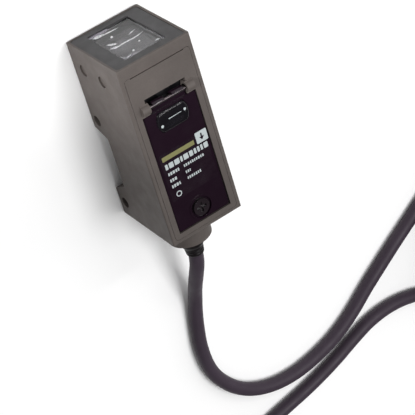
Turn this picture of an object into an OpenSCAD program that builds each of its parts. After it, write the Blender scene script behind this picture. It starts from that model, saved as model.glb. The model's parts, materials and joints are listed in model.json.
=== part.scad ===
/* [Case] */
// Width of the case across the operation panel
body_w = 23.2; // [22.8:0.1:23.4]
// Length of the case from the lens end to the cable end
body_l = 57.3; // [57:0.1:57.6]
// Depth of the case from the back feet to the panel face
body_d = 27.5; // [27.5:0.1:28]
// Radius of the long back corners
back_r = 0.6; // [0.5:0.1:1]
// Depth of the channel between the two back feet
channel_d = 6.6; // [6:0.1:6.8]

/* [Mounting] */
// Radius of the holes through the two back feet
mount_hole_r = 1.7; // [1.6:0.05:1.8]
// Distance between the two mounting holes
mount_pitch = 28; // [27.5:0.5:28.5]
// Height of the mounting holes above the back plane
mount_hole_z = 3.6; // [3.4:0.1:3.8]

/* [Lens end] */
// Width of the window opening
window_w = 13.2; // [12:0.2:13.6]
// Height of the window opening, from back to front
window_h = 20.4; // [19:0.2:20.6]
// Radius of the convex face of the lens
lens_curve_r = 20; // [18:0.5:22]

/* [Cover] */
// Width of the hinged cover
cover_w = 16.8; // [16:0.1:16.8]
// Thickness of the hinged cover
cover_t = 1.2; // [1.1:0.1:1.2]
// Radius of the hinge pin
hinge_pin_r = 0.6; // [0.5:0.05:0.7]
// Radius of the cover screw's head
screw_head_r = 2.5; // [2.2:0.1:2.6]

/* [Cable] */
// Diameter of the cable
cable_d = 4.4; // [4.2:0.1:4.4]
// Radius of the round boss that the cable comes out of
boss_r = 6.5; // [6:0.1:6.6]
// Length of the boss beyond the case
boss_l = 9.2; // [9:0.1:9.6]
// Length of the bushing beyond the boss
bushing_tip_l = 6.5; // [6:0.5:7]

/* [Hidden] */
$fn = 64;
eps = 0.01;
fit_gap = 0.02;
move_gap = 0.3;

// Lengths run along Y, with the lens end at +Y and the cable end at -Y
lens_y = (body_l + boss_l + bushing_tip_l) / 2;
tail_y = lens_y - body_l;
boss_y = tail_y - boss_l;
exit_y = boss_y - bushing_tip_l;
half_w = body_w / 2;

// Case walls
side_wall = 2.25;
end_wall = 2;
cavity_w = body_w - 2 * side_wall;
floor_z = 8;
optics_floor_z = 2;
optics_y = 14;
edge_r = 0.4;
back_relief = 0.3;

// Feet on the back: [near edge, far edge] along Y at the back plane
upper_foot = [9.2, 15.6];
lower_foot_top = -12.3;
upper_slope = 2.1;
lower_slope = 3.2;
upper_hole_y = 12;
lower_hole_y = upper_hole_y - mount_pitch;
dimple_r = 1.75;
dimple_depth = 0.5;
dimple_y = 29.3;
dimple_z = [5.9, 16];

// Front frame, let into the front of the case
frame_t = 2.4;
frame_z = body_d - frame_t;
gasket_t = 0.4;
ledge_z = frame_z - gasket_t;
frame_side = 1.25;
frame_top_y = lens_y - 3.6;
frame_bottom_y = tail_y + 1.2;
frame_w = body_w - 2 * frame_side;
frame_l = frame_top_y - frame_bottom_y;
frame_mid_y = (frame_top_y + frame_bottom_y) / 2;
seam = 0.12;
groove_w = 0.3;
groove_l = 17.2;
groove_depth = 0.5;

// Opening of the front frame, with its ledge for the cover gasket
opening_w = cover_w + 2 * move_gap;
opening_bottom_y = -18.1;
opening_top_y = 20.2;
cover_ledge = 1.1;
ledge_top_z = frame_z + 0.3;
pocket_w = 13.2;
pocket_y = [23.1, 25.1];
throat_w = 12;

// Hinge of the cover
hinge_y = 22.2;
hinge_z = body_d - 0.2;
ear_r = 1.55;
ear_w = 2.4;
ear_x = throat_w / 2 + ear_w / 2;
ear_foot_y = [20.5, 23.9];
pin_reach = ear_x + ear_w / 2 - 0.2;
clip_r = 1.25;
clip_w = 3.6;
clip_x = 3.1;
clip_mouth = 1.3;

// Cover
cover_z = body_d - 1.5;
cover_top_z = cover_z + cover_t;
cover_top_y = opening_top_y - move_gap;
cover_bottom_y = opening_bottom_y + move_gap;
cover_tongue_w = throat_w - 2 * move_gap;
cover_tongue_y = hinge_y - 0.9;
cover_gasket_t = 0.4;
dome_r = 5.1;
dome_y = 16.2;
dome_cut_y = [12.9, 19.3];
dome_proud = 0.6;
screw_y = -14;
screw_dish_r = 3.25;
screw_dish_depth = 0.7;
screw_shank_r = 1.2;
screw_head_t = 1.0;
screw_tip_z = 22.9;
label_t = 0.06;
label_w = 15.4;
label_l = 15;
label_y = -0.4;
label_gap = 0.2;
sticker_w = 3.7;
sticker_l = 3.5;
sticker_at = [6.3, 6.1];

// Case screws, at the corners under the cover
case_screw_x = 6.5;
case_screw_y = [-10.2, 18.2];
case_screw_r = 0.95;
case_screw_head_r = 1.4;
pad_r = 1.6;
block_x = 5;
pad_z = frame_z - 1.2;
pad_top_z = ledge_top_z + 0.2;
post_h = 5;
case_screw_l = 6;

// Control plate
control_top_z = frame_z;
control_t = 0.9;
control_z = control_top_z - control_t;
insert_r = 2.2;
insert_bore_r = screw_shank_r + 0.35;
insert_l = 3.2;

// Adjusters: centre X, centre Y
sensitivity_at = [-4.2, 6.6];
mode_at = [4.2, 6.6];
output_at = [4.2, -3.2];
rotor_r = 2;
rotor_hole_r = rotor_r + move_gap;
rotor_top_z = frame_z + 0.55;
rotor_base_z = 21.8;
stem_r = 0.9;
stem_gap = 0.05;
adjuster_w = 5.6;
adjuster_h = 3.9;
slot_w = 0.6;
slot_depth = 0.9;

// Indicator LEDs: centre X, centre Y
stability_at = [-3.9, 15.2];
light_at = [3.7, 16.3];
led_r = 1.2;
led_top_z = frame_z + 0.5;
led_base_z = 21;

// Boards
main_board_z = 16.4;
board_t = 1;
main_board_y = [-15.2, 13.4];
main_board_w = 17.2;
optical_board_y = 15;
optical_board_z = [4.4, 18.4];
optical_axis_z = 13.5;

// Lens group
bezel_t = 0.9;
bezel_recess = 1.1;
bezel_rim = 0.65;
window_t = 1.5;
window_lap = 1.1;
window_recess = 0.65;
seal_t = 0.4;
window_face_y = lens_y - end_wall - seal_t;
lens_r = 10;
lens_w = 15.2;
lens_apex_y = window_face_y - window_t - 0.3;
lens_back_y = lens_apex_y - 6.6;
holder_back_y = 20;
holder_wall = 0.6;
tunnel_end = 5;

// Cable exit
cable_r = cable_d / 2;
bushing_r = 3.3;
bushing_tip_r = 2.6;
bushing_flange_r = 4.6;
bushing_flange_t = 1.4;
jacket_end_y = -14.2;
clamp_t = 1.2;
wire_r = 0.65;
wire_top_z = main_board_z - 0.4;

// Route of the cable from the bushing over the surface that the sensor lies on
rest_z = cable_r + 0.05;
route_out = [
    [0, exit_y, optical_axis_z], [-0.3, -40.5, 12.8], [-0.6, -45, 10.8], [-0.6, -49.5, 8.2],
    [-0.5, -54, 5.6], [-0.6, -58.5, 3.7], [-1.3, -63.5, 2.6], [-2.3, -69.5, rest_z],
    [-3.1, -75.5, rest_z], [-3.1, -81.5, rest_z], [-2.2, -87, rest_z], [-0.2, -91.8, rest_z],
    [3.3, -97, rest_z], [7.8, -101.1, rest_z], [13.2, -104, rest_z], [19.3, -105.6, rest_z],
    [26, -105.9, rest_z], [32.8, -104.9, rest_z], [39.5, -103, rest_z], [45.6, -100.2, rest_z],
    [51, -96.8, rest_z], [57, -92.3, rest_z], [63.5, -87.9, rest_z], [70.5, -83.3, rest_z],
    [78, -78.6, rest_z], [85.5, -73.8, rest_z], [93, -69, rest_z], [100, -64.4, rest_z]
];
route_tail = [
    [106, -120.9, rest_z], [97, -117.9, rest_z], [88.5, -113.6, rest_z], [80.5, -109.2, rest_z],
    [72.5, -105.8, rest_z], [64, -104.2, rest_z], [55.5, -104.8, rest_z], [47.5, -107.4, rest_z],
    [41, -110, rest_z], [34.5, -112.2, rest_z], [27, -114.2, rest_z], [19.5, -115.7, rest_z],
    [12, -117.2, rest_z], [5.5, -119, rest_z], [0, -121.2, rest_z]
];
coil_centre = [116, -89];
coil_mid_r = 25;
coil_layers = 4;
coil_turns_wide = 3;
coil_h = coil_layers * cable_d + 0.1;
coil_half_w = coil_turns_wide * cable_d / 2 + 0.1;
tie_t = 0.8;
tie_angle = 10;
tie_at = 20;

// Ends of the three leads past the stripped jacket: [end X, end Y]
lead_r = 0.6;
lead_start = route_tail[len(route_tail) - 1];
brown_end = [-15, -121.5];
blue_end = [-15, -127];
black_end = [-11, -131];
brown_bend = -1.5;
blue_bend = -0.6;
black_bend = 0.8;
lead_heights = [rest_z, 1.8, 1.2, 0.9, 0.8];
tip_l = 5;
tip_r = 0.45;

// ---- shared shapes ----
module box_between(low, high) {
    translate(low) cube(high - low);
}
module cyl_x(r, x0, x1, y, z) {
    translate([x0, y, z]) rotate([0, 90, 0]) cylinder(r = r, h = x1 - x0);
}
module cyl_y(r, y0, y1, x, z) {
    translate([x, y1, z]) rotate([90, 0, 0]) cylinder(r = r, h = y1 - y0);
}
module cyl_z(r, z0, z1, x, y) {
    translate([x, y, z0]) cylinder(r = r, h = z1 - z0);
}
module rounded(w, l, r) {
    offset(r = r) square([w - 2 * r, l - 2 * r], center = true);
}
module slab(w, l, r, z0, z1, y = 0) {
    translate([0, y, z0]) linear_extrude(z1 - z0) rounded(w, l, r);
}
// Upright plate across the optical axis
module wall_plate(w, h, r, y0, y1, z = optical_axis_z) {
    translate([0, y1, z]) rotate([90, 0, 0]) linear_extrude(y1 - y0) rounded(w, h, r);
}

// ---- tube swept along a list of points ----
function unit(v) = v / norm(v);
function heading(p, i) = unit(p[min(i + 1, len(p) - 1)] - p[max(i - 1, 0)]);
function side_of(d) = unit(cross(d, abs(d[2]) > 0.9 ? [1, 0, 0] : [0, 0, 1]));
function ring(p, i, r, n) = let (d = heading(p, i), s = side_of(d), u = cross(s, d))
    [for (k = [0 : n - 1]) p[i] + r * (cos(360 * k / n) * s + sin(360 * k / n) * u)];
module tube(p, r, n) {
    last = len(p) - 1;
    points = [for (i = [0 : last]) each ring(p, i, r, n)];
    walls = [for (i = [0 : last - 1], k = [0 : n - 1])
        [i * n + k, i * n + (k + 1) % n, (i + 1) * n + (k + 1) % n, (i + 1) * n + k]];
    start_cap = [[for (k = [n - 1 : -1 : 0]) k]];
    end_cap = [[for (k = [0 : n - 1]) last * n + k]];
    polyhedron(points = points, faces = concat(walls, start_cap, end_cap), convexity = 4);
}

// ---- case ----
module side_outline() {
    offset(r = edge_r) offset(delta = -edge_r) polygon([
        [lens_y, body_d], [tail_y, body_d], [tail_y, 0], [lower_foot_top, 0],
        [lower_foot_top + lower_slope, channel_d], [upper_foot[0] - upper_slope, channel_d],
        [upper_foot[0], 0], [upper_foot[1], 0], [upper_foot[1] + back_relief, back_relief],
        [lens_y, back_relief]
    ]);
}
module end_outline() {
    hull() {
        for (s = [-1, 1]) {
            translate([s * (half_w - back_r), back_r]) circle(r = back_r, $fn = 32);
            translate([s * (half_w - edge_r), body_d - edge_r]) circle(r = edge_r, $fn = 32);
        }
    }
}
module case_outer() {
    intersection() {
        rotate([90, 0, 90]) linear_extrude(body_w, center = true) side_outline();
        translate([0, lens_y + 1, 0]) rotate([90, 0, 0]) linear_extrude(body_l + 2) end_outline();
    }
}
module case_cavities() {
    // electronics bay
    box_between([-cavity_w / 2, tail_y + end_wall, floor_z],
        [cavity_w / 2, frame_top_y - 1, ledge_z + eps]);
    // optics bay, deeper at the back
    box_between([-cavity_w / 2, optics_y, optics_floor_z],
        [cavity_w / 2, lens_y - end_wall, ledge_z]);
    // seat of the front frame
    slab(frame_w + 2 * seam, frame_l + 2 * seam, 1, ledge_z, body_d + 1, frame_mid_y);
    // window opening and bezel seat
    wall_plate(window_w, window_h, 0.6, lens_y - end_wall - 1, lens_y + 1);
    bezel_h = body_d - back_relief - 2 * bezel_rim;
    wall_plate(body_w - 2 * bezel_rim, bezel_h, 1, lens_y - bezel_recess, lens_y + 1,
        (body_d + back_relief) / 2);
}
module housing() {
    color("dimgray") difference() {
        union() {
            case_outer();
            cyl_y(boss_r, boss_y, tail_y + eps, 0, optical_axis_z);
        }
        difference() {
            case_cavities();
            // blocks on the inner walls for the case screws
            for (s = [-1, 1], y = case_screw_y) {
                box_between([min(s * block_x, s * half_w), y - pad_r, pad_z - post_h],
                    [max(s * block_x, s * half_w), y + pad_r, pad_z]);
            }
        }
        for (s = [-1, 1], y = case_screw_y) {
            cyl_z(case_screw_r + fit_gap, pad_z - post_h - 1, pad_z + 1, s * case_screw_x, y);
        }
        cyl_y(bushing_r + fit_gap, boss_y - 1, tail_y + end_wall + 1, 0, optical_axis_z);
        for (y = [upper_hole_y, lower_hole_y]) {
            cyl_x(mount_hole_r, -half_w - 1, half_w + 1, y, mount_hole_z);
        }
        for (z = dimple_z) {
            cyl_x(dimple_r, -half_w - 1, -half_w + dimple_depth, dimple_y, z);
            cyl_x(dimple_r, half_w - dimple_depth, half_w + 1, dimple_y, z);
        }
    }
}
module cover_opening() {
    box_between([-opening_w / 2, opening_bottom_y, ledge_top_z],
        [opening_w / 2, opening_top_y, body_d + 3]);
}
module front_frame() {
    lip_w = opening_w - 2 * cover_ledge;
    color("dimgray") difference() {
        union() {
            difference() {
                slab(frame_w, frame_l, 0.9, frame_z, body_d, frame_mid_y);
                cover_opening();
                // clear way through the ledge into the control compartment
                box_between([-lip_w / 2, opening_bottom_y + cover_ledge, frame_z - 1],
                    [lip_w / 2, opening_top_y - cover_ledge, body_d]);
                // throat and pocket behind the hinge pin
                box_between([-throat_w / 2, opening_top_y - cover_ledge - eps, frame_z - 1],
                    [throat_w / 2, pocket_y[1], body_d + 1]);
                box_between([-pocket_w / 2, pocket_y[0], frame_z - 1],
                    [pocket_w / 2, pocket_y[1], body_d + 1]);
            }
            // hinge ears
            for (s = [-1, 1]) {
                cyl_x(ear_r, s * ear_x - ear_w / 2, s * ear_x + ear_w / 2, hinge_y, hinge_z);
                box_between([s * ear_x - ear_w / 2, ear_foot_y[0], frame_z],
                    [s * ear_x + ear_w / 2, ear_foot_y[1], hinge_z + 0.4]);
            }
            // screw pads under the cover
            for (s = [-1, 1], y = case_screw_y) {
                cyl_z(pad_r, pad_z, pad_top_z, s * case_screw_x, y);
            }
        }
        cyl_x(hinge_pin_r + fit_gap, -pin_reach - fit_gap, pin_reach + fit_gap, hinge_y, hinge_z);
        // short groove along the top edge
        box_between([-groove_l / 2, frame_top_y - groove_w, body_d - groove_depth],
            [groove_l / 2, frame_top_y + 1, body_d + 1]);
        for (s = [-1, 1], y = case_screw_y) {
            cyl_z(case_screw_r + fit_gap, pad_z - 1, pad_top_z + 1, s * case_screw_x, y);
            cyl_z(case_screw_head_r + fit_gap, pad_top_z - 0.8, pad_top_z + 1,
                s * case_screw_x, y);
        }
    }
}
module case_gasket() {
    color("black") difference() {
        slab(frame_w, frame_l, 0.9, ledge_z, frame_z, frame_mid_y);
        slab(cavity_w, frame_l - 2, 0.5, ledge_z - 1, frame_z + 1, frame_mid_y);
    }
}
module case_screws() {
    head_z = pad_top_z - 0.8;
    color("silver") for (s = [-1, 1], y = case_screw_y) {
        difference() {
            union() {
                cyl_z(case_screw_r, pad_top_z - case_screw_l, head_z + eps,
                    s * case_screw_x, y);
                cyl_z(case_screw_head_r, head_z, pad_top_z, s * case_screw_x, y);
            }
            translate([s * case_screw_x, y, pad_top_z]) cross_recess(1.7, 0.4, 0.45);
        }
    }
}
// Cross-shaped driver recess, cut downwards from Z = 0
module cross_recess(l, w, depth) {
    for (a = [0, 90]) {
        rotate([0, 0, a]) cube([l, w, 2 * depth], center = true);
    }
}

// ---- optics ----
module lens_bezel() {
    bezel_h = body_d - back_relief - 2 * bezel_rim - 2 * seam;
    color("darkslategray") difference() {
        wall_plate(body_w - 2 * bezel_rim - 2 * seam, bezel_h, 0.9,
            lens_y - bezel_recess, lens_y - bezel_recess + bezel_t,
            (body_d + back_relief) / 2);
        wall_plate(window_w, window_h, 0.6, lens_y - bezel_recess - 1, lens_y + 1);
    }
}
module window_gasket() {
    color("black") difference() {
        wall_plate(window_w + 2 * window_lap, window_h + 2 * window_lap - 0.2, 0.6,
            window_face_y, window_face_y + seal_t);
        wall_plate(window_w + 0.4, window_h + 0.4, 0.6, window_face_y - 1, lens_y);
    }
}
module lens_window() {
    color("lightblue", 0.4) union() {
        // flange behind the end wall
        wall_plate(window_w + 2 * window_lap, window_h + 2 * window_lap - 0.2, 0.6,
            window_face_y - window_t, window_face_y);
        // raised part that fills the opening
        wall_plate(window_w - 0.1, window_h - 0.1, 0.55, window_face_y - eps,
            lens_y - window_recess);
    }
}
module lens() {
    color("lavender", 0.5) intersection() {
        translate([0, lens_apex_y - lens_curve_r, optical_axis_z])
            sphere(r = lens_curve_r, $fn = 96);
        cyl_y(lens_r, lens_back_y, lens_apex_y + 1, 0, optical_axis_z);
        box_between([-lens_w / 2, lens_back_y, 0], [lens_w / 2, lens_apex_y + 1, body_d]);
    }
}
module lens_holder() {
    holder_w = cavity_w - 0.4;
    holder_h = 2 * lens_r + 2 * holder_wall;
    color("black") difference() {
        wall_plate(holder_w, holder_h, 0.6, holder_back_y, window_face_y - window_t);
        intersection() {
            cyl_y(lens_r + fit_gap, lens_back_y, lens_y, 0, optical_axis_z);
            box_between([-lens_w / 2 - fit_gap, lens_back_y, 0],
                [lens_w / 2 + fit_gap, lens_y, body_d]);
        }
        // tapered light tunnel behind the lens
        hull() {
            wall_plate(lens_w - 2, 2 * lens_r - 4, 2, lens_back_y - 0.1, lens_back_y + eps);
            wall_plate(tunnel_end, tunnel_end, 1, holder_back_y - 1, holder_back_y + 0.5);
        }
    }
}
module aperture_plate() {
    color("silver") difference() {
        wall_plate(8.4, 9, 0.5, holder_back_y - 0.3, holder_back_y);
        cyl_y(1.2, holder_back_y - 1, holder_back_y + 1, 0, optical_axis_z);
    }
}
module photodiode() {
    front_y = optical_board_y + 1 + 1.6;
    color("black") union() {
        wall_plate(5, 6, 0.3, optical_board_y + 1, front_y);
        intersection() {
            translate([0, front_y - 1, optical_axis_z]) sphere(r = 1.8, $fn = 48);
            cyl_y(1.6, front_y - 0.5, front_y + 2, 0, optical_axis_z);
        }
    }
}
module optical_board() {
    low = optical_board_z[0];
    high = optical_board_z[1];
    color("darkgreen") wall_plate(16.6, high - low, 0.5, optical_board_y, optical_board_y + 1,
        (low + high) / 2);
}
module shield_can() {
    low = [-6, optical_board_y - 3.2, floor_z + 0.5];
    high = [6, optical_board_y, 15.6];
    wall = [0.3, 0.3, 0.3];
    color("silver") difference() {
        box_between(low, high);
        box_between(low + wall, high + [-0.3, 1, -0.3]);
    }
}
module board_header() {
    pin_w = 0.5;
    color("gold") for (i = [-2 : 2]) {
        x = i * 1.27;
        box_between([x - pin_w / 2, main_board_y[1] - 1.6, main_board_z + board_t],
            [x + pin_w / 2, optical_board_y, main_board_z + board_t + pin_w]);
    }
}

// ---- electronics ----
module main_board() {
    length = main_board_y[1] - main_board_y[0];
    color("darkgreen") slab(main_board_w, length, 0.6, main_board_z, main_board_z + board_t,
        main_board_y[0] + length / 2);
}
module gull_legs(w, l, z, count, x, y) {
    leg = 0.4;
    pitch = (l - 1) / (count - 1);
    for (i = [0 : count - 1]) {
        translate([x, y - (l - 1) / 2 + i * pitch, z]) cube([w + 2, leg, 0.3], center = true);
    }
}
module main_ic() {
    color("black") union() {
        box_between([-2.6, -7, main_board_z - 1.8], [2.6, 3.5, main_board_z - 0.1]);
        gull_legs(5.2, 10.5, main_board_z - 0.15, 8, 0, -1.75);
    }
}
module small_components() {
    color("tan") {
        for (i = [0 : 5]) {
            translate([-6.9, -13.5 + i * 1.6, main_board_z + board_t + 0.4])
                cube([1.6, 0.8, 0.8], center = true);
        }
        for (i = [0 : 4]) {
            translate([6.6, -6.4 + i * 2.2, main_board_z - 0.4])
                cube([2, 1.2, 0.8], center = true);
        }
    }
}
module filter_capacitor() {
    z = main_board_z + board_t;
    color("silver") union() {
        cyl_z(2.2, z + 0.4, z + 5.4, sensitivity_at[0], -2.8);
        translate([sensitivity_at[0], -2.8, z + 0.2]) cube([4.6, 4.6, 0.4], center = true);
    }
}
module output_transistor() {
    z = main_board_z + board_t;
    color("black") union() {
        box_between([1.4, -11.2, z + 0.1], [4.8, -7.6, z + 1.6]);
        gull_legs(3.4, 3.6, z + 0.15, 3, 3.1, -9.4);
    }
}
module led(at) {
    board_top = main_board_z + board_t;
    color("white") union() {
        cyl_z(led_r, led_base_z, led_top_z - led_r, at[0], at[1]);
        intersection() {
            translate([at[0], at[1], led_top_z - led_r]) sphere(r = led_r, $fn = 48);
            cyl_z(led_r, led_top_z - led_r - eps, led_top_z, at[0], at[1]);
        }
        for (s = [-1, 1]) {
            x = at[0] + s * 0.5;
            box_between([x - 0.2, at[1] - 0.2, led_base_z - 1], [x + 0.2, at[1] + 0.2,
                led_base_z + eps]);
            box_between([x - 0.2, main_board_y[1] - 1.2, led_base_z - 1.4],
                [x + 0.2, at[1] + 0.2, led_base_z - 1 + eps]);
            box_between([x - 0.2, main_board_y[1] - 1.2, board_top],
                [x + 0.2, main_board_y[1] - 0.8, led_base_z - 1]);
        }
    }
}
module stability_led() {
    led(stability_at);
}
module light_led() {
    led(light_at);
}

// ---- controls under the cover ----
module control_plate() {
    top_y = pocket_y[1] + 0.6;
    bottom_y = opening_bottom_y;
    color("black") difference() {
        slab(cavity_w - 0.2, top_y - bottom_y, 0.5, control_z, control_top_z,
            (top_y + bottom_y) / 2);
        for (s = [-1, 1], y = case_screw_y) {
            cyl_z(pad_r + 0.1, control_z - 1, control_top_z + 1, s * case_screw_x, y);
            box_between([min(s * case_screw_x, s * half_w), y - pad_r - 0.1, control_z - 1],
                [max(s * case_screw_x, s * half_w), y + pad_r + 0.1, control_top_z + 1]);
        }
        for (at = [sensitivity_at, mode_at, output_at]) {
            cyl_z(rotor_hole_r, control_z - 1, control_top_z + 1, at[0], at[1]);
        }
        for (at = [stability_at, light_at]) {
            cyl_z(led_r + 0.1, control_z - 1, control_top_z + 1, at[0], at[1]);
        }
        cyl_z(insert_r, control_z - 1, control_top_z + 1, 0, screw_y);
    }
}
module thread_insert() {
    color("goldenrod") difference() {
        cyl_z(insert_r, control_top_z - insert_l, control_top_z, 0, screw_y);
        cyl_z(insert_bore_r, control_top_z - insert_l - 1, control_top_z + 1, 0, screw_y);
    }
}
module adjuster_body(at, tint) {
    z = main_board_z + board_t;
    color(tint) difference() {
        translate([at[0], at[1], z + adjuster_h / 2])
            cube([adjuster_w, adjuster_w, adjuster_h], center = true);
        cyl_z(stem_r + stem_gap, z + 1, z + adjuster_h + 1, at[0], at[1]);
    }
}
module adjuster_rotor(at, tint) {
    z = main_board_z + board_t;
    color(tint) union() {
        cyl_z(stem_r, z + 1.3, rotor_base_z + eps, at[0], at[1]);
        difference() {
            cyl_z(rotor_r, rotor_base_z, rotor_top_z, at[0], at[1]);
            children();
        }
    }
}
module sensitivity_trimmer() {
    adjuster_body(sensitivity_at, "royalblue");
}
module sensitivity_adjuster() {
    adjuster_rotor(sensitivity_at, "ivory")
        translate([sensitivity_at[0], sensitivity_at[1], rotor_top_z])
            cross_recess(2.8, slot_w, slot_depth);
}
module mode_switch() {
    adjuster_body(mode_at, "dimgray");
}
module selector_slot(at) {
    translate([at[0], at[1], rotor_top_z]) {
        cube([2.9, slot_w, 2 * slot_depth], center = true);
        translate([1.3, 0, 0]) cube([0.8, 1.3, 2 * slot_depth], center = true);
    }
}
module mode_selector() {
    adjuster_rotor(mode_at, "ivory") selector_slot(mode_at);
}
module output_switch() {
    adjuster_body(output_at, "dimgray");
}
module output_selector() {
    adjuster_rotor(output_at, "ivory") selector_slot(output_at);
}

// ---- cover ----
module hinge_pin() {
    color("silver") cyl_x(hinge_pin_r, -pin_reach, pin_reach, hinge_y, hinge_z);
}
module dome_outline(grow = 0) {
    intersection() {
        translate([0, dome_y]) circle(r = dome_r + grow);
        translate([-dome_r - 1, dome_cut_y[0] - grow])
            square([2 * dome_r + 2, dome_cut_y[1] - dome_cut_y[0] + 2 * grow]);
    }
}
module hinge_clip(x) {
    difference() {
        union() {
            cyl_x(clip_r, x - clip_w / 2, x + clip_w / 2, hinge_y, hinge_z);
            box_between([x - clip_w / 2, cover_tongue_y - 1, cover_z],
                [x + clip_w / 2, hinge_y, cover_z + 0.7]);
        }
        cyl_x(hinge_pin_r + 0.05, -half_w, half_w, hinge_y, hinge_z);
        // mouth of the snap clip, open to the front
        box_between([x - clip_w, hinge_y - clip_mouth, hinge_z + 0.1],
            [x + clip_w, hinge_y + hinge_pin_r - 0.1, hinge_z + 3]);
    }
}
module control_cover() {
    length = cover_top_y - cover_bottom_y;
    color("black") union() {
        difference() {
            union() {
                slab(cover_w, length, 0.7, cover_z, cover_top_z,
                    (cover_top_y + cover_bottom_y) / 2);
                box_between([-cover_tongue_w / 2, cover_top_y - 1, cover_z],
                    [cover_tongue_w / 2, cover_tongue_y, cover_top_z - 0.3]);
                cyl_z(screw_dish_r + 0.5, cover_z, cover_top_z + 0.15, 0, screw_y);
            }
            translate([0, 0, cover_z - 1]) linear_extrude(cover_t + 2) dome_outline(fit_gap);
            cyl_z(screw_dish_r, cover_top_z - screw_dish_depth, cover_top_z + 1, 0, screw_y);
            cyl_z(screw_shank_r + 0.1, cover_z - 1, cover_top_z + 1, 0, screw_y);
            cyl_x(hinge_pin_r + 0.35, -half_w, half_w, hinge_y, hinge_z);
        }
        for (s = [-1, 1]) {
            hinge_clip(s * clip_x);
        }
    }
}
module cover_window() {
    color("gray", 0.5) translate([0, 0, cover_z]) union() {
        linear_extrude(cover_t + dome_proud / 2) dome_outline();
        translate([0, 0, cover_t + dome_proud / 2 - eps]) linear_extrude(dome_proud / 2 + eps)
            dome_outline(-0.4);
    }
}
module cover_gasket() {
    inner_w = opening_w - 2 * cover_ledge;
    color("black") difference() {
        box_between([-opening_w / 2 + 0.1, opening_bottom_y + 0.1, ledge_top_z],
            [opening_w / 2 - 0.1, opening_top_y - 0.1, ledge_top_z + cover_gasket_t - 0.1]);
        box_between([-inner_w / 2, opening_bottom_y + cover_ledge, ledge_top_z - 1],
            [inner_w / 2, opening_top_y - cover_ledge, body_d]);
        for (s = [-1, 1], y = case_screw_y) {
            cyl_z(pad_r + 0.1, ledge_top_z - 1, body_d, s * case_screw_x, y);
        }
        box_between([-throat_w / 2, opening_top_y - cover_ledge - 1, ledge_top_z - 1],
            [throat_w / 2, opening_top_y + 1, body_d]);
    }
}
module rating_label() {
    color("black") difference() {
        slab(label_w, label_l, 0.5, cover_top_z, cover_top_z + label_t, label_y);
        // corner left free for the sticker
        box_between([sticker_at[0] - sticker_w / 2 - label_gap,
            sticker_at[1] - sticker_l / 2 - label_gap, cover_z],
            [half_w, cover_top_y, body_d]);
    }
}
module arrow_sticker() {
    color("whitesmoke") translate([sticker_at[0], sticker_at[1], cover_top_z])
        linear_extrude(label_t) rounded(sticker_w, sticker_l, 0.3);
}
module cover_screw() {
    head_z = cover_top_z - screw_dish_depth;
    color("black") difference() {
        union() {
            cyl_z(screw_shank_r, screw_tip_z, head_z + 0.1, 0, screw_y);
            cyl_z(screw_head_r, head_z + 0.02, head_z + screw_head_t, 0, screw_y);
        }
        translate([0, screw_y, head_z + screw_head_t]) cross_recess(3.1, 0.75, 0.7);
    }
}
module screw_oring() {
    color("black") translate([0, screw_y, cover_z - 0.28]) rotate_extrude()
        translate([screw_shank_r + 0.26, 0]) circle(r = 0.24, $fn = 24);
}

// ---- cable entry ----
module cable_bushing() {
    inner_y = tail_y + end_wall;
    shoulder_y = boss_y - 3.6;
    color("black") difference() {
        union() {
            cyl_y(bushing_r, shoulder_y, inner_y, 0, optical_axis_z);
            cyl_y(bushing_flange_r, inner_y, inner_y + bushing_flange_t, 0, optical_axis_z);
            translate([0, shoulder_y, optical_axis_z]) rotate([90, 0, 0])
                cylinder(r1 = bushing_r, r2 = bushing_tip_r, h = shoulder_y - exit_y);
        }
        cyl_y(cable_r + fit_gap, exit_y - 1, inner_y + 3, 0, optical_axis_z);
    }
}
module cable_clamp() {
    y = tail_y + end_wall + bushing_flange_t;
    color("silver") difference() {
        wall_plate(9, 7.4, 1, y, y + clamp_t);
        cyl_y(cable_r + fit_gap, y - 1, y + clamp_t + 1, 0, optical_axis_z);
    }
}
module cable_entry() {
    color("dimgray") cyl_y(cable_r, exit_y, jacket_end_y, 0, optical_axis_z);
}
module inner_wire(side, tint) {
    color(tint) tube([
        [side * 1.1, jacket_end_y + 0.15, optical_axis_z], [side * 1.3, -12.6, 13.6],
        [side * 2.6, -11.2, 14.2], [side * 3.8, -10.2, 15], [side * 4.4, -9.8, wire_top_z]
    ], wire_r, 8);
}
module brown_wire() {
    inner_wire(-1, "saddlebrown");
}
module blue_wire() {
    inner_wire(1, "royalblue");
}
module black_wire() {
    color("black") tube([
        [0, jacket_end_y, optical_axis_z + 1.3], [0, -12.4, optical_axis_z + 1.3],
        [0, -11, 15.2], [0, -10.4, wire_top_z]
    ], wire_r, 8);
}

// ---- free cable ----
module cable() {
    color("dimgray") tube(route_out, cable_r, 12);
}
module cable_tail() {
    color("dimgray") tube(route_tail, cable_r, 12);
}
module cable_coil() {
    color("dimgray") translate([coil_centre[0], coil_centre[1], 0]) rotate_extrude($fn = 72)
        translate([coil_mid_r, coil_h / 2]) rounded(2 * coil_half_w, coil_h, 2);
}
module coil_tie() {
    color("black") translate([coil_centre[0], coil_centre[1], 0])
        rotate([0, 0, tie_at - tie_angle / 2]) rotate_extrude(angle = tie_angle)
            difference() {
                translate([coil_mid_r, coil_h / 2 + tie_t / 2])
                    square([2 * coil_half_w + 2 * tie_t, coil_h + tie_t], center = true);
                translate([coil_mid_r, coil_h / 2])
                    square([2 * coil_half_w, coil_h + 0.02], center = true);
            }
}
function lead_path(to, bend) = let (a = lead_start)
    [for (i = [0 : 4]) let (t = i / 4) [a[0] + (to[0] - a[0]) * t,
        a[1] + (to[1] - a[1]) * t + bend * sin(180 * t), lead_heights[i]]];
module lead(to, bend, tint) {
    color(tint) tube(lead_path(to, bend), lead_r, 8);
}
module brown_lead() {
    lead(brown_end, brown_bend, "saddlebrown");
}
module blue_lead() {
    lead(blue_end, blue_bend, "royalblue");
}
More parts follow.
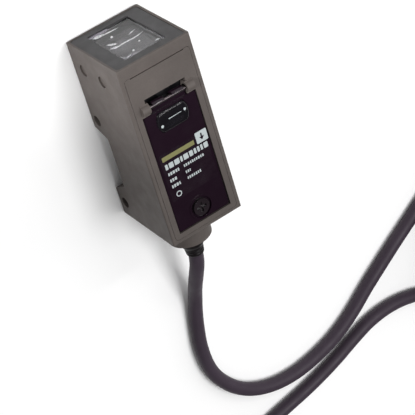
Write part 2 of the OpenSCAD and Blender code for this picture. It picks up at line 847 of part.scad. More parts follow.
module black_lead() {
    lead(black_end, black_bend, "black");
}
module lead_tip(to, bend) {
    p = lead_path(to, bend);
    d = unit(p[4] - p[3]);
    tube([p[4], p[4] + d * tip_l / 2, p[4] + d * tip_l], tip_r, 8);
}
module lead_tips() {
    color("silver") {
        lead_tip(brown_end, brown_bend);
        lead_tip(blue_end, blue_bend);
        lead_tip(black_end, black_bend);
    }
}

housing();
front_frame();
case_gasket();
case_screws();
lens_bezel();
window_gasket();
lens_window();
lens();
lens_holder();
aperture_plate();
photodiode();
optical_board();
shield_can();
board_header();
main_board();
main_ic();
small_components();
filter_capacitor();
output_transistor();
stability_led();
light_led();
control_plate();
thread_insert();
sensitivity_trimmer();
sensitivity_adjuster();
mode_switch();
mode_selector();
output_switch();
output_selector();
hinge_pin();
control_cover();
cover_window();
cover_gasket();
rating_label();
arrow_sticker();
cover_screw();
screw_oring();
cable_bushing();
cable_clamp();
cable_entry();
brown_wire();
blue_wire();
black_wire();
cable();
cable_coil();
coil_tie();
cable_tail();
brown_lead();
blue_lead();
black_lead();
lead_tips();
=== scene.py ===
"""Photoelectric sensor: the look of each piece, the free cable, the light and the camera.

Metres, in the CAD frame: +Y towards the lens end, +Z out of the control cover, floor at Z = 0.
Sizes below that end in _MM, and the cable's route, are in millimetres.
"""
import json
import math

import bmesh
import bpy
from mathutils import Matrix, Vector


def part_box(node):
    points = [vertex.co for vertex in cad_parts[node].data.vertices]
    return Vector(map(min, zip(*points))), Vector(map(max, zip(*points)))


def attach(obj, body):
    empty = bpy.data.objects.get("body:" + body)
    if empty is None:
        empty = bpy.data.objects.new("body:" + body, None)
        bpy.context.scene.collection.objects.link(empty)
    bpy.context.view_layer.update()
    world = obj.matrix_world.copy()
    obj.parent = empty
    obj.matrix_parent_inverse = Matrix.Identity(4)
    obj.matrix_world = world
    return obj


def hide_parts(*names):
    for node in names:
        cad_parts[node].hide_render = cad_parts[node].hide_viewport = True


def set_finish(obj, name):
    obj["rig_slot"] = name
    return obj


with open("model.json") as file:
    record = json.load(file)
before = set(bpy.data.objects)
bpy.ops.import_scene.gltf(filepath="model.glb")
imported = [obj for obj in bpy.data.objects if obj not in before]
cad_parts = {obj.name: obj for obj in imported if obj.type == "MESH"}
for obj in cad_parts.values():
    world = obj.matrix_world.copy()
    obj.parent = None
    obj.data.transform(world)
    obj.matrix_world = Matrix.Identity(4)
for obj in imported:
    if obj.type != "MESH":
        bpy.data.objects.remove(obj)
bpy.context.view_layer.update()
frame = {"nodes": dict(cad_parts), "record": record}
nodes = frame["nodes"]

MM = 0.001
CASE = "case"
COVER = "cover"


def box_mm(node):
    """A CAD node's lowest and highest corners in millimetres."""
    a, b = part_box(node)
    return a / MM, b / MM


bushing_low, bushing_high = box_mm("cable_bushing")
sticker_low, sticker_high = box_mm("arrow_sticker")
dome_low, dome_high = box_mm("cover_window")
LABEL_TOP = box_mm("rating_label")[1].z
WINDOW_FACE_Y = box_mm("lens_window")[1].y
AXIS_Z = (bushing_low.z + bushing_high.z) / 2
EXIT_Y = bushing_low.y


# ---- camera ----
CAMERA_AT = (-176.6, 271.9, 427.2)
CAMERA_AIM = (13.8, -34.9, 0)
CAMERA_ROLL = math.radians(123.4)
LENS_MM = 164.8
SENSOR_MM = 36


def make_camera():
    """A long lens above the lens end's left corner, rolled so that the lens end is at the top."""
    data = bpy.data.cameras.new("camera")
    data.lens = LENS_MM
    data.sensor_width = SENSOR_MM
    data.clip_start = 0.01
    camera = bpy.data.objects.new("camera", data)
    bpy.context.collection.objects.link(camera)
    place = Vector(CAMERA_AT) * MM
    target = Vector(CAMERA_AIM) * MM
    level = (target - place).to_track_quat("-Z", "Y").to_matrix()
    roll = Matrix.Rotation(CAMERA_ROLL, 3, "Z")
    camera.matrix_world = Matrix.Translation(place) @ (level @ roll).to_4x4()
    bpy.context.scene.camera = camera


make_camera()


# ---- mesh building ----
def mesh_piece(name, build, smooth=True):
    """A new object whose mesh the build function fills, in millimetres."""
    data = bpy.data.meshes.new(name)
    bm = bmesh.new()
    build(bm)
    bmesh.ops.remove_doubles(bm, verts=bm.verts, dist=1e-4)
    bmesh.ops.recalc_face_normals(bm, faces=bm.faces)
    bmesh.ops.scale(bm, vec=(MM, MM, MM), verts=bm.verts)
    for face in bm.faces:
        face.smooth = smooth
    bm.to_mesh(data)
    bm.free()
    piece = bpy.data.objects.new(name, data)
    bpy.context.collection.objects.link(piece)
    return piece


def loft(bm, rings, caps=True):
    """Faces between closed rings of the same number of points, with flat caps at both ends."""
    rows = [[bm.verts.new(p) for p in ring] for ring in rings]
    count = len(rows[0])
    for a, b in zip(rows, rows[1:]):
        for k in range(count):
            bm.faces.new((a[k], a[(k + 1) % count], b[(k + 1) % count], b[k]))
    if caps:
        bm.faces.new(rows[0])
        bm.faces.new(list(reversed(rows[-1])))


def smooth_line(points, steps):
    """Points along the smooth line through the given ones, with so many steps between two."""
    knots = [Vector(p) for p in points]
    knots = [2 * knots[0] - knots[1], *knots, 2 * knots[-1] - knots[-2]]
    line = []
    for a, b, c, d in zip(knots, knots[1:], knots[2:], knots[3:]):
        for k in range(steps):
            t = k / steps
            line.append(
                0.5 * (2 * b + (c - a) * t + (2 * a - 5 * b + 4 * c - d) * t * t
                       + (3 * b - a - 3 * c + d) * t * t * t)
            )
    line.append(knots[-2])
    return line


def tube(bm, line, radius, sides):
    """A round tube along a line, whose cross-section is carried along without twisting."""
    rings = []
    side = None
    for i, point in enumerate(line):
        ahead = (line[min(i + 1, len(line) - 1)] - line[max(i - 1, 0)]).normalized()
        if side is None:
            side = ahead.orthogonal()
        side = (side - ahead * side.dot(ahead)).normalized()
        up = ahead.cross(side)
        rings.append([
            point + radius * (side * math.cos(math.tau * k / sides)
                              + up * math.sin(math.tau * k / sides))
            for k in range(sides)
        ])
    loft(bm, rings)


def lathe_y(bm, profile, centre_x, centre_z, sides=64):
    """A closed body turned about a line along Y. The profile is a closed list of (y, radius)."""
    rings = []
    for y, radius in profile:
        rings.append([
            (centre_x + radius * math.cos(math.tau * k / sides), y,
             centre_z + radius * math.sin(math.tau * k / sides))
            for k in range(sides)
        ])
    loft(bm, rings + [rings[0]], caps=False)


def soften(piece, width_mm, segments=2, angle=35):
    """Rounds the sharp edges of a piece a little."""
    bevel = piece.modifiers.new("soft_edges", "BEVEL")
    bevel.width = width_mm * MM
    bevel.segments = segments
    bevel.limit_method = "ANGLE"
    bevel.angle_limit = math.radians(angle)


# ---- the free cable's route, as in the CAD source ----
CABLE_D = 4.4
REST_Z = CABLE_D / 2 + 0.05
ROUTE_OUT = [
    (0, EXIT_Y, AXIS_Z), (-0.3, -40.5, 12.8), (-0.6, -45, 10.8), (-0.6, -49.5, 8.2),
    (-0.5, -54, 5.6), (-0.6, -58.5, 3.7), (-1.3, -63.5, 2.6), (-2.3, -69.5, REST_Z),
    (-3.1, -75.5, REST_Z), (-3.1, -81.5, REST_Z), (-2.2, -87, REST_Z), (-0.2, -91.8, REST_Z),
    (3.3, -97, REST_Z), (7.8, -101.1, REST_Z), (13.2, -104, REST_Z), (19.3, -105.6, REST_Z),
    (26, -105.9, REST_Z), (32.8, -104.9, REST_Z), (39.5, -103, REST_Z), (45.6, -100.2, REST_Z),
    (51, -96.8, REST_Z), (57, -92.3, REST_Z), (63.5, -87.9, REST_Z), (70.5, -83.3, REST_Z),
    (78, -78.6, REST_Z), (85.5, -73.8, REST_Z), (93, -69, REST_Z), (100, -64.4, REST_Z),
]
ROUTE_TAIL = [
    (106, -120.9, REST_Z), (97, -117.9, REST_Z), (88.5, -113.6, REST_Z), (80.5, -109.2, REST_Z),
    (72.5, -105.8, REST_Z), (64, -104.2, REST_Z), (55.5, -104.8, REST_Z), (47.5, -107.4, REST_Z),
    (41, -110, REST_Z), (34.5, -112.2, REST_Z), (27, -114.2, REST_Z), (19.5, -115.7, REST_Z),
    (12, -117.2, REST_Z), (5.5, -119, REST_Z), (0, -121.2, REST_Z),
]
COIL_CENTRE = (116, -89)
COIL_MID_R = 25
COIL_LAYERS = 4
COIL_TURNS = 10
TURNS_WOUND = 2
TURNS_CLIMBING = 0.66
TIE_LIFT = 0.45
LAST_STEP_OUT = CABLE_D - 0.4


def eased(t):
    """A step from 0 to 1 that starts and ends softly."""
    t = min(max(t, 0), 1)
    return t * t * (3 - 2 * t)


def coil_profile(done):
    """Radius and height of the cable's centreline after so many turns of the coil.

    Each layer winds over two turns between the widest and the narrowest radius, and then climbs
    to the next layer over two thirds of a turn. The last climb is down the outside to the floor.
    """
    layer = min(int(done / (TURNS_WOUND + TURNS_CLIMBING)), COIL_LAYERS - 1)
    within = done - layer * (TURNS_WOUND + TURNS_CLIMBING)
    wide, narrow = COIL_MID_R + CABLE_D, COIL_MID_R - CABLE_D
    start, end = (wide, narrow) if layer % 2 == 0 else (narrow, wide)
    radius = start + (end - start) * min(within / TURNS_WOUND, 1)
    climbed = eased((within - TURNS_WOUND) / TURNS_CLIMBING)
    if layer < COIL_LAYERS - 1:
        height = REST_Z + TIE_LIFT * eased(3 * done) + CABLE_D * (layer + climbed)
    else:
        height = REST_Z + (TIE_LIFT + CABLE_D * layer) * (1 - climbed)
        radius += climbed * LAST_STEP_OUT
    return radius, height


def coil_points(per_turn=16):
    """The coiled stretch, clockwise from the end of ROUTE_OUT to the start of ROUTE_TAIL."""
    def angle_at(point):
        return math.atan2(point[1] - COIL_CENTRE[1], point[0] - COIL_CENTRE[0])

    first, last = angle_at(ROUTE_OUT[-1]), angle_at(ROUTE_TAIL[0])
    turns = COIL_TURNS + ((first - last) % math.tau) / math.tau
    count = int(turns * per_turn)
    points = []
    for i in range(1, count):
        done = turns * i / count
        radius, height = coil_profile(done)
        angle = first - math.tau * done
        points.append((
            COIL_CENTRE[0] + radius * math.cos(angle),
            COIL_CENTRE[1] + radius * math.sin(angle),
            height,
        ))
    return points


# ---- the three leads past the stripped jacket ----
LEAD_R = 0.6
# Each lead: its end's x and y, how far it bows in y, its offset in the jacket, and its slot
LEADS = {
    "brown_lead": (-15, -121.5, -1.5, (0.75, 0.3), "wire_brown"),
    "blue_lead": (-15, -127, -0.6, (-0.75, 0.3), "wire_blue"),
    "black_lead": (-11, -131, 0.8, (0, -0.8), "wire_black"),
}
LEAD_HEIGHTS = [REST_Z, 1.8, 1.2, 0.9, 0.8]
TIP_LENGTH = 5
STRANDS = 7
STRAND_R = 0.14
STRAND_REACH = 0.27
STRAND_TWIST = 0.7


def lead_points(end_x, end_y, bend, spread):
    """A lead's line: out of the jacket's end, beside the other two, and down to the floor."""
    start = Vector(ROUTE_TAIL[-1])
    along = (start - Vector(ROUTE_TAIL[-2])).normalized()
    across = Vector((-along.y, along.x, 0))
    side = across * spread[0] + Vector((0, 0, spread[1]))
    points = [start - along * 2.5 + side, start + along * 0.4 + side]
    for i in range(1, len(LEAD_HEIGHTS)):
        t = i / (len(LEAD_HEIGHTS) - 1)
        points.append(Vector((
            start.x + (end_x - start.x) * t,
            start.y + (end_y - start.y) * t + bend * math.sin(math.pi * t),
            LEAD_HEIGHTS[i],
        )))
    return points


def strand_splines(points):
    """Seven twisted strands that carry on from the end of a lead."""
    tip = points[-1]
    along = (tip - points[-2]).normalized()
    across = Vector((-along.y, along.x, 0)).normalized()
    up = along.cross(across)
    splines = [[tip - along * 0.5, tip + along * TIP_LENGTH / 2, tip + along * TIP_LENGTH]]
    for k in range(STRANDS - 1):
        line = []
        for i in range(13):
            t = i / 12
            angle = math.tau * (k / (STRANDS - 1) + STRAND_TWIST * t)
            reach = STRAND_REACH * (1 + 0.12 * t * math.sin(3 * k))
            offset = across * reach * math.cos(angle) + up * reach * math.sin(angle)
            line.append(tip + along * (t * TIP_LENGTH - 0.4) + offset)
        splines.append(line)
    return splines


def make_cable():
    """The free cable from the bushing to its bare end, with its leads, strands and strap."""
    coiled = [ROUTE_OUT[-1]] + coil_points() + [ROUTE_TAIL[0]]
    line = smooth_line(ROUTE_OUT, 5)[:-1] + smooth_line(coiled, 3)[:-1] + smooth_line(ROUTE_TAIL, 5)
    # its mesh starts inside the bushing, so that no gap shows at the mouth
    inside = [Vector((0, EXIT_Y + back, AXIS_Z)) for back in (1.4, 0.7)]
    cable = mesh_piece("free_cable", lambda bm: tube(bm, inside + line, CABLE_D / 2, 20))
    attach(cable, CASE)
    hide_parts("cable", "cable_coil", "cable_tail")
    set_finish(cable, "jacket_grey")
    pieces = []
    strands = []
    for node, (end_x, end_y, bend, spread, slot) in LEADS.items():
        points = lead_points(end_x, end_y, bend, spread)
        lead = mesh_piece(
            node + "_wire", lambda bm: tube(bm, smooth_line(points, 5), LEAD_R, 14))
        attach(lead, CASE)
        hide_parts(node)
        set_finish(lead, slot)
        pieces.append(lead)
        strands += strand_splines(points)

    def build_strands(bm):
        for strand in strands:
            tube(bm, smooth_line(strand, 2), STRAND_R, 8)

    tips = mesh_piece("lead_strands", build_strands)
    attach(tips, CASE)
    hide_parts("lead_tips")
    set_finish(tips, "tinned_copper")
    pieces.append(tips)
    pieces.append(make_coil_tie(line))
    return [cable, *pieces]


# ---- the strap round the coil ----
TIE_ANGLE = math.radians(20)
TIE_WIDTH = 4.4
TIE_T = 0.4
TIE_GAP = 0.04
TIE_SIDES = 72
TIE_EDGE = 0.25


def make_coil_tie(cable_line):
    """A ratchet strap pulled tight round the coil's turns, with its head on top and a cut tail."""
    radial = Vector((math.cos(TIE_ANGLE), math.sin(TIE_ANGLE), 0))
    tangent = Vector((-radial.y, radial.x, 0))
    centre = Vector((*COIL_CENTRE, 0))
    turns = []
    for before, after in zip(cable_line, cable_line[1:]):
        near, far = before - centre, after - centre
        if near.dot(radial) > 0 and near.dot(tangent) * far.dot(tangent) < 0:
            part = near.dot(tangent) / (near - far).dot(tangent)
            at = near.lerp(far, part)
            turns.append((at.dot(radial), at.z))
    top_z = max(z for r, z in turns) + CABLE_D / 2 + TIE_GAP

    def place(r, z, w):
        """A point that far out from the coil's centre, that high, and that far along the coil."""
        return centre + radial * r + Vector((0, 0, z)) + tangent * w

    def outline(grow):
        """Where a band that far from the cable runs, round the turns the strap's plane cuts."""
        reach = CABLE_D / 2 + TIE_GAP + grow
        for k in range(TIE_SIDES):
            angle = math.tau * k / TIE_SIDES
            across, up = math.cos(angle), math.sin(angle)
            r, z = max(turns, key=lambda turn: turn[0] * across + turn[1] * up)
            yield r + reach * across, z + reach * up

    def build(bm):
        half = TIE_WIDTH / 2
        rings = [
            [place(ri, zi, -half), place(ro, zo, TIE_EDGE - half),
             place(ro, zo, half - TIE_EDGE), place(ri, zi, half)]
            for (ri, zi), (ro, zo) in zip(outline(0), outline(TIE_T))
        ]
        loft(bm, rings + [rings[0]], caps=False)
        # ratchet head on top, and the cut tail that comes out of it
        head_r, head_z = COIL_MID_R - 0.9, top_z + TIE_T
        loft(bm, [
            [place(head_r + r * (3 - cut), head_z - 0.1 + h, w * (2.7 - cut))
             for r, w in ((-1, -1), (1, -1), (1, 1), (-1, 1))]
            for h, cut in ((0, 0), (1.7, 0), (2.2, 0.5))
        ])
        rings = []
        for k in range(6):
            t = k / 5
            r, z = head_r - 2.8 - 4.4 * t, head_z + 1 + 0.5 * t * t
            rings.append([place(r, z - 0.2, -1.7), place(r, z - 0.2, 1.7),
                          place(r, z + 0.2, 1.7), place(r, z + 0.2, -1.7)])
        loft(bm, rings)

    tie = mesh_piece("coil_strap", build, smooth=False)
    soften(tie, 0.15)
    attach(tie, CASE)
    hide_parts("coil_tie")
    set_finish(tie, "black_plastic")
    return tie


cable_pieces = make_cable()


# ---- the smoked window in the cover ----
def cut_circle(radius, half_height, corner, middle_y, steps=14):
    """Outline of a circle cut flat at the top and the bottom, with rounded corners."""
    inner_r, inner_h = radius - corner, half_height - corner
    edge = math.asin(inner_h / inner_r)
    corner_x, corner_y = inner_r * math.cos(edge), inner_h
    quarter = []
    for k in range(steps + 1):
        angle = edge * k / steps
        quarter.append((radius * math.cos(angle), radius * math.sin(angle)))
    for k in range(1, steps + 1):
        angle = edge + (math.pi / 2 - edge) * k / steps
        quarter.append((corner_x + corner * math.cos(angle), corner_y + corner * math.sin(angle)))
    upper = quarter + [(-x, y) for x, y in reversed(quarter)]
    outline = upper + [(x, -y) for x, y in reversed(upper)]
    tidy = [q for i, q in enumerate(outline) if math.dist(q, outline[i - 1]) > 1e-3]
    return [(x, y + middle_y) for x, y in tidy]


def make_smoke_window():
    """A raised smoked lens over the two lamps, with a rolled edge and a slightly crowned top."""
    middle_y = (dome_low.y + dome_high.y) / 2
    radius, half_height = dome_high.x, (dome_high.y - dome_low.y) / 2
    z0, z1 = dome_low.z, dome_high.z
    shoulder = z1 - 0.75
    levels = [(z0, 0.25), (z0 + 0.15, 0.02), (shoulder, 0.02)]
    for k in range(1, 7):
        angle = math.pi / 2 * k / 6
        levels.append((shoulder + 0.62 * math.sin(angle), 0.02 + 0.75 * (1 - math.cos(angle))))
    levels += [(z1 - 0.07, 1.3), (z1 - 0.02, 2.0), (z1, 2.7)]

    def build(bm):
        rings = []
        for z, inset in levels:
            corner = max(1.5 - inset, 0.25)
            ring = cut_circle(radius - inset, half_height - inset, corner, middle_y)
            rings.append([(x, y, z) for x, y in ring])
        loft(bm, rings)

    window = mesh_piece("smoke_window", build)
    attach(window, COVER)
    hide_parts("cover_window")
    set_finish(window, "cover_smoke")
    return window


# ---- creases of the film over the clear window ----
# Each crease is a list of (x, z, half its width), and each bubble is (x, z, radius)
CREASES = [
    [(-5.9, 5.1, 0.05), (-4.9, 5.3, 0.57), (-3.6, 5.5, 0.51), (-2.1, 5.8, 0.3), (0.1, 6.0, 0.27),
     (2.0, 6.1, 0.06)],
    [(-5.2, 11.4, 0.05), (-4.4, 12.2, 0.38), (-3.6, 12.9, 0.38), (-2.9, 13.5, 0.05)],
    [(-5.6, 14.1, 0.06), (-4.5, 14.8, 0.46), (-3.6, 15.0, 0.3), (-2.7, 15.0, 0.32),
     (-1.2, 14.9, 0.27), (0.5, 15.0, 0.3), (2.3, 15.0, 0.27), (4.0, 14.6, 0.14),
     (5.0, 14.2, 0.04)],
    [(1.6, 12.2, 0.05), (2.7, 11.8, 0.24), (4.1, 11.3, 0.05)],
    [(4.2, 21.7, 0.11), (4.9, 21.8, 0.35), (5.6, 21.8, 0.11)],
    [(-6.1, 20.2, 0.04), (-5.9, 21.6, 0.14), (-5.2, 22.3, 0.16), (-4.2, 22.2, 0.14),
     (-3.3, 21.7, 0.04)],
]
BUBBLES = [(-1.95, 9.1, 0.4), (-2.1, 20.7, 0.36), (1.5, 17.9, 0.26)]
LEAST_REACH = 0.03
CREASE_SIDES = 12


def make_creases():
    """Tapered creases and a few bubbles in the window's film, which later wear a whitish painted
    highlight.
    """
    def build(bm):
        for line in CREASES:
            path = smooth_line([(x, reach, z) for x, z, reach in line], 6)
            rings = []
            for i, (x, reach, z) in enumerate(path):
                ahead = path[min(i + 1, len(path) - 1)] - path[max(i - 1, 0)]
                side = Vector((-ahead.z, 0, ahead.x)).normalized()
                reach = max(reach, LEAST_REACH)
                rings.append([
                    Vector((x, WINDOW_FACE_Y, z))
                    + side * reach * math.cos(math.tau * k / CREASE_SIDES)
                    + Vector((0, 0.6 * reach * math.sin(math.tau * k / CREASE_SIDES), 0))
                    for k in range(CREASE_SIDES)
                ])
            loft(bm, rings)
        for x, z, radius in BUBBLES:
            spot = Matrix.Translation((x, WINDOW_FACE_Y, z))
            bmesh.ops.create_uvsphere(bm, u_segments=20, v_segments=12, radius=radius, matrix=spot)

    creases = mesh_piece("window_ripples", build)
    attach(creases, CASE)
    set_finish(creases, "window_clear")
    return creases


# ---- the cable bushing ----
BOSS_END_Y = -30
BARREL_R = 3.3
BORE_R = CABLE_D / 2 + 0.03


def make_bushing():
    """The rubber bushing: flange inside, plain barrel, swollen collar and ribbed, tapered tip."""
    inner_y, mouth_y = bushing_high.y, BOSS_END_Y
    profile = [
        (inner_y, BORE_R), (inner_y, 4.4), (inner_y - 0.2, 4.6), (inner_y - 1.2, 4.6),
        (inner_y - 1.4, 4.4), (inner_y - 1.4, BARREL_R),
        (mouth_y + 0.2, BARREL_R), (mouth_y - 0.1, 3.05), (mouth_y - 0.35, 3.0),
        (mouth_y - 0.6, 3.1), (mouth_y - 0.95, 3.38), (mouth_y - 1.5, 3.52),
        (mouth_y - 2.1, 3.55), (mouth_y - 2.7, 3.5), (mouth_y - 3.2, 3.3),
        (mouth_y - 3.5, 3.05), (mouth_y - 3.75, 2.92), (mouth_y - 4.1, 2.88),
    ]
    for rib in range(2):
        y = mouth_y - 4.3 - 0.85 * rib
        out = 2.86 - 0.1 * rib
        profile += [
            (y, out), (y - 0.15, out - 0.16), (y - 0.35, out - 0.16), (y - 0.5, out - 0.03),
        ]
    profile += [
        (EXIT_Y + 0.25, 2.62), (EXIT_Y + 0.05, 2.5), (EXIT_Y, 2.35), (EXIT_Y + 0.1, BORE_R),
    ]
    bushing = mesh_piece("bushing_collar", lambda bm: lathe_y(bm, profile, 0, AXIS_Z, 72))
    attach(bushing, CASE)
    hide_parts("cable_bushing")
    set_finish(bushing, "bushing_black")
    return bushing


# ---- what is printed on the cover, and painted highlights on its window ----
INK = 0.02
INK_GAP = 0.001


def ink(bm, points, z):
    """A flat printed patch: a thin closed slab over an outline."""
    loft(bm, [[(x, y, z) for x, y in points], [(x, y, z + INK) for x, y in points]])


def bar(x0, x1, y0, y1, corner=0.12):
    """Outline of a rectangle with rounded corners."""
    corner = min(corner, (x1 - x0) / 2.01, (y1 - y0) / 2.01)
    points = []
    for cx, cy, start in ((x1, y1, 0), (x0, y1, 90), (x0, y0, 180), (x1, y0, 270)):
        ox = cx - corner if cx == x1 else cx + corner
        oy = cy - corner if cy == y1 else cy + corner
        for k in range(4):
            angle = math.radians(start + 30 * k)
            points.append((ox + corner * math.cos(angle), oy + corner * math.sin(angle)))
    return points


def disc(x, y, radius, sides=24):
    """Outline of a disc."""
    return [
        (x + radius * math.cos(math.tau * k / sides), y + radius * math.sin(math.tau * k / sides))
        for k in range(sides)
    ]


def ring(bm, x, y, radius, width, z, sides=28):
    """A printed ring."""
    rows = []
    for r, height in ((radius - width / 2, z), (radius + width / 2, z),
                      (radius + width / 2, z + INK), (radius - width / 2, z + INK)):
        rows.append([(px, py, height) for px, py in disc(x, y, r, sides)])
    loft(bm, rows + [rows[0]], caps=False)


def printed(name, build, slot, body=COVER):
    """A flat printed piece that rides on the cover, or on another body."""
    piece = mesh_piece(name, build, smooth=False)
    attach(piece, body)
    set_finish(piece, slot)
    return piece


def make_prints():
    """Plain bars, a stripe, an arrow and a ring where a label has its printing, and white dots and
    a dash on the smoked window that paint the glints of the lamps under it.
    """
    label_z = LABEL_TOP + INK_GAP
    window_z = dome_high.z - 0.005
    # widths of the bars in the bold line
    bold = [0.85, 1.45, 1.6, 0.7, 1.55, 1.2, 0.75, 0.75, 0.7, 1.35]
    # height of each small row along the cover, and where its left and right words start and end
    rows = [
        (0.6, [(-6.5, -2.9)], [(-1.3, 5.5)]),
        (-1.5, [(-6.5, -4.2)], [(-1.3, 0.3)]),
        (-3.45, [(-6.5, -3.7)], [(-1.3, 3.6)]),
    ]

    def words(bm, spans, y, height, letter):
        """Rows of small bars of uneven widths."""
        for start, end in spans:
            x = start
            index = 0
            while x + letter * 0.6 < end:
                wide = letter * (0.75 + 0.35 * ((index * 7) % 5) / 4)
                ink(bm, bar(x, min(x + wide, end), y - height / 2, y + height / 2, 0.08), label_z)
                x += wide + 0.22
                index += 1

    def build_bold(bm):
        x = -6.7
        for width in bold:
            ink(bm, bar(x, x + width, 2.15, 3.85, 0.2), label_z)
            x += width + 0.36

    def build_rows(bm):
        for y, left, right in rows:
            words(bm, left, y, 0.95, 0.62)
            words(bm, right, y, 0.8, 0.5)

    def build_mark(bm):
        ring(bm, -5.1, -6.4, 0.75, 0.3, label_z)

    def build_stripe(bm):
        ink(bm, bar(-6.95, 3.65, 4.9, 6.3, 0.15), label_z)

    def build_arrow(bm):
        x, y = (sticker_low.x + sticker_high.x) / 2, (sticker_low.y + sticker_high.y) / 2
        z = sticker_high.z + INK_GAP
        ink(bm, bar(x - 0.22, x + 0.22, y - 0.1, y + 1.05, 0.05), z)
        ink(bm, [(x - 0.75, y - 0.05), (x, y - 1.1), (x + 0.75, y - 0.05)], z)

    # painted highlights: white dots and a dash where the lamps under the smoked window glint
    def build_painted_glints(bm):
        ink(bm, disc(-3.95, 15.2, 0.42), window_z - 0.06)
        ink(bm, disc(3.75, 16.6, 0.42), window_z - 0.06)
        ink(bm, disc(-1.4, 16.45, 0.2, 16), window_z)
        ink(bm, [(-1.3, 16.32), (2.6, 16.5), (2.6, 16.62), (-1.3, 16.56)], window_z)

    return [
        printed("print_bold_bars", build_bold, "print_white"),
        printed("print_row_bars", build_rows, "print_white"),
        printed("print_ring", build_mark, "print_white"),
        printed("print_stripe", build_stripe, "print_white"),
        printed("print_arrow", build_arrow, "label_black"),
        printed("window_painted_glints", build_painted_glints, "print_white"),
    ]


# ---- scales round the adjusters, under the cover ----
TICK_START = 2.45
TICK_END = 3.1
STOP_MARK_END = 3.3
TICK_HALF_WIDTH = 0.09


def make_scales():
    """Marks printed on the control plate: ticks round the adjuster, two at each selector."""
    plate_z = box_mm("control_plate")[1].z + INK_GAP
    spots = {
        "sensitivity_adjuster": [math.radians(a) for a in range(-30, 211, 24)],
        "mode_selector": [0, math.pi / 2],
        "output_selector": [0, math.pi / 2],
    }

    def build(bm):
        for node, angles in spots.items():
            low, high = box_mm(node)
            x, y = (low.x + high.x) / 2, (low.y + high.y) / 2
            for angle in angles:
                along = Vector((math.cos(angle), math.sin(angle)))
                across = Vector((-along.y, along.x)) * TICK_HALF_WIDTH
                near, far = along * TICK_START, along * (
                    TICK_END if len(angles) > 2 else STOP_MARK_END)
                ink(bm, [(x + p.x, y + p.y) for p in
                         (near - across, far - across, far + across, near + across)], plate_z)

    return printed("adjuster_scales", build, "print_white", CASE)


def round_edges(node, width_mm, angle=35):
    """Rounds a CAD node's sharp edges with modifiers; its own mesh stays as it is."""
    merge = nodes[node].modifiers.new("merge", "WELD")
    merge.merge_threshold = 0.002 * MM
    bevel = nodes[node].modifiers.new("edges", "BEVEL")
    bevel.width = width_mm * MM
    bevel.segments = 2
    bevel.limit_method = "ANGLE"
    bevel.angle_limit = math.radians(angle)
    bevel.harden_normals = True


round_edges("control_cover", 0.38)
round_edges("cover_screw", 0.2)
detail_pieces = [
    make_smoke_window(), make_creases(), make_bushing(), *make_prints(), make_scales(),
]


# ---- materials ----
def linear(hex_colour):
    """Linear RGBA of an sRGB colour written as a hexadecimal number."""
    channels = [(hex_colour >> shift & 255) / 255 for shift in (16, 8, 0)]
    return (*[c / 12.92 if c <= 0.04045 else ((c + 0.055) / 1.055) ** 2.4 for c in channels], 1)


def scaled(colour, factor):
    """A colour made lighter or darker."""
    return (*[min(c * factor, 1) for c in colour[:3]], 1)


class Finish:
    """A procedural material: colour, roughness and bump from noise in the piece's own space."""

    def __init__(self, name, **fixed):
        self.material = bpy.data.materials.new(name)
        self.material.use_nodes = True
        self.tree = self.material.node_tree
        self.shader = self.tree.nodes["Principled BSDF"]
        self.place = self.tree.nodes.new("ShaderNodeTexCoord").outputs["Object"]
        for socket, value in fixed.items():
            self.shader.inputs[socket.replace("_", " ")].default_value = value

    def node(self, kind, **values):
        made = self.tree.nodes.new(kind)
        for key, value in values.items():
            made.inputs[key].default_value = value
        return made

    def join(self, source, target):
        self.tree.links.new(source, target)

    def noise(self, size_mm, detail=3.0, stretch=None):
        """Noise with features of about that size. Stretch lengthens them along an axis."""
        source = self.place
        if stretch:
            mapping = self.node("ShaderNodeMapping")
            mapping.inputs["Scale"].default_value = [1 / s for s in stretch]
            self.join(source, mapping.inputs["Vector"])
            source = mapping.outputs["Vector"]
        made = self.node("ShaderNodeTexNoise", Scale=1 / (size_mm * MM), Detail=detail)
        self.join(source, made.inputs["Vector"])
        return made.outputs["Fac"]

    def ramp(self, factor, low, high, low_at=0.3, high_at=0.7):
        """Maps a noise onto a range of values."""
        made = self.node("ShaderNodeMapRange")
        made.inputs["From Min"].default_value = low_at
        made.inputs["From Max"].default_value = high_at
        made.inputs["To Min"].default_value = low
        made.inputs["To Max"].default_value = high
        self.join(factor, made.inputs["Value"])
        return made.outputs["Result"]

    def mix(self, factor, a, b):
        """Mixes two colours, which are fixed colours or sockets."""
        made = self.tree.nodes.new("ShaderNodeMix")
        made.data_type = "RGBA"
        slots = [s for s in made.inputs if s.type == "RGBA"]
        for slot, value in zip(slots, (a, b)):
            if isinstance(value, tuple):
                slot.default_value = value
            else:
                self.join(value, slot)
        self.join(factor, made.inputs["Factor"])
        return [s for s in made.outputs if s.type == "RGBA"][0]

    def colour(self, socket):
        self.join(socket, self.shader.inputs["Base Color"])
        return self

    def roughness(self, size_mm, low, high, stretch=None):
        self.join(self.ramp(self.noise(size_mm, 4, stretch), low, high),
                  self.shader.inputs["Roughness"])
        return self

    def bump(self, factor, height_mm, strength=1.0):
        made = self.node("ShaderNodeBump", Strength=strength, Distance=height_mm * MM)
        self.join(factor, made.inputs["Height"])
        self.join(made.outputs["Normal"], self.shader.inputs["Normal"])
        return self

    def edges(self, radius_mm, low=0.02, high=0.2):
        """1 on convex and concave edges, 0 on flat surfaces."""
        bevel = self.tree.nodes.new("ShaderNodeBevel")
        bevel.samples = 4
        bevel.inputs["Radius"].default_value = radius_mm * MM
        geometry = self.tree.nodes.new("ShaderNodeNewGeometry")
        dot = self.tree.nodes.new("ShaderNodeVectorMath")
        dot.operation = "DOT_PRODUCT"
        self.join(bevel.outputs["Normal"], dot.inputs[0])
        self.join(geometry.outputs["Normal"], dot.inputs[1])
        return self.ramp(dot.outputs["Value"], 1, 0, 1 - high, 1 - low)


